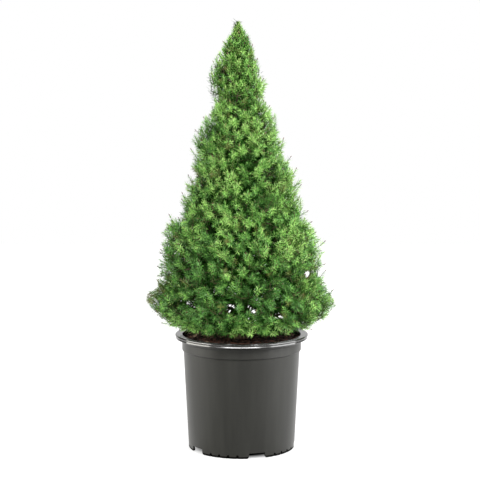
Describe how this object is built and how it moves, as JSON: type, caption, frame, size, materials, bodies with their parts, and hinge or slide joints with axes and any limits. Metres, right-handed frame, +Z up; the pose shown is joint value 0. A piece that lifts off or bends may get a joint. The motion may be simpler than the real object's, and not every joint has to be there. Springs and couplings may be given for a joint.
{
  "type": "potted dwarf alberta spruce",
  "caption": "Conical dwarf spruce, dense short needles on one trunk with whorled boughs, growing in a round plastic nursery pot with a rolled lip and gaps between its feet.",
  "frame": {"origin": "middle of the pot's foot, on the surface that the pot stands on", "axes": "+Z up along the pot's axis and the trunk; -Y towards the side that the reference view shows, +X to its right"},
  "size_m": [0.3818, 0.3727, 0.897],
  "materials": {
    "pot": "satin",
    "potting_mix": "rough",
    "bark": "rough",
    "needles": "satin"
  },
  "bodies": {
    "root": {"pot": "pot", "potting_mix": "potting_mix", "trunk": "bark", "bough_1_1": "bark", "bough_1_2": "bark", "bough_1_3": "bark", "bough_1_4": "bark", "bough_1_5": "bark", "bough_1_6": "bark", "bough_2_1": "bark", "bough_2_2": "bark", "bough_2_3": "bark", "bough_2_4": "bark", "bough_2_5": "bark", "bough_2_6": "bark", "bough_3_1": "bark", "bough_3_2": "bark", "bough_3_3": "bark", "bough_3_4": "bark", "bough_3_5": "bark", "bough_4_1": "bark", "bough_4_2": "bark", "bough_4_3": "bark", "bough_4_4": "bark", "foliage_1_1": "needles", "foliage_1_2": "needles", "foliage_1_3": "needles", "foliage_1_4": "needles", "foliage_1_5": "needles", "foliage_1_6": "needles", "foliage_2_1": "needles", "foliage_2_2": "needles", "foliage_2_3": "needles", "foliage_2_4": "needles", "foliage_2_5": "needles", "foliage_2_6": "needles", "foliage_3_1": "needles", "foliage_3_2": "needles", "foliage_3_3": "needles", "foliage_3_4": "needles", "foliage_3_5": "needles", "foliage_4_1": "needles", "foliage_4_2": "needles", "foliage_4_3": "needles", "foliage_4_4": "needles", "foliage_5_1": "needles", "foliage_5_2": "needles", "foliage_5_3": "needles", "foliage_5_4": "needles", "foliage_6_1": "needles", "foliage_6_2": "needles", "foliage_6_3": "needles", "foliage_7_1": "needles", "foliage_7_2": "needles", "foliage_7_3": "needles", "foliage_leader": "needles"}
  },
  "joints": []
}
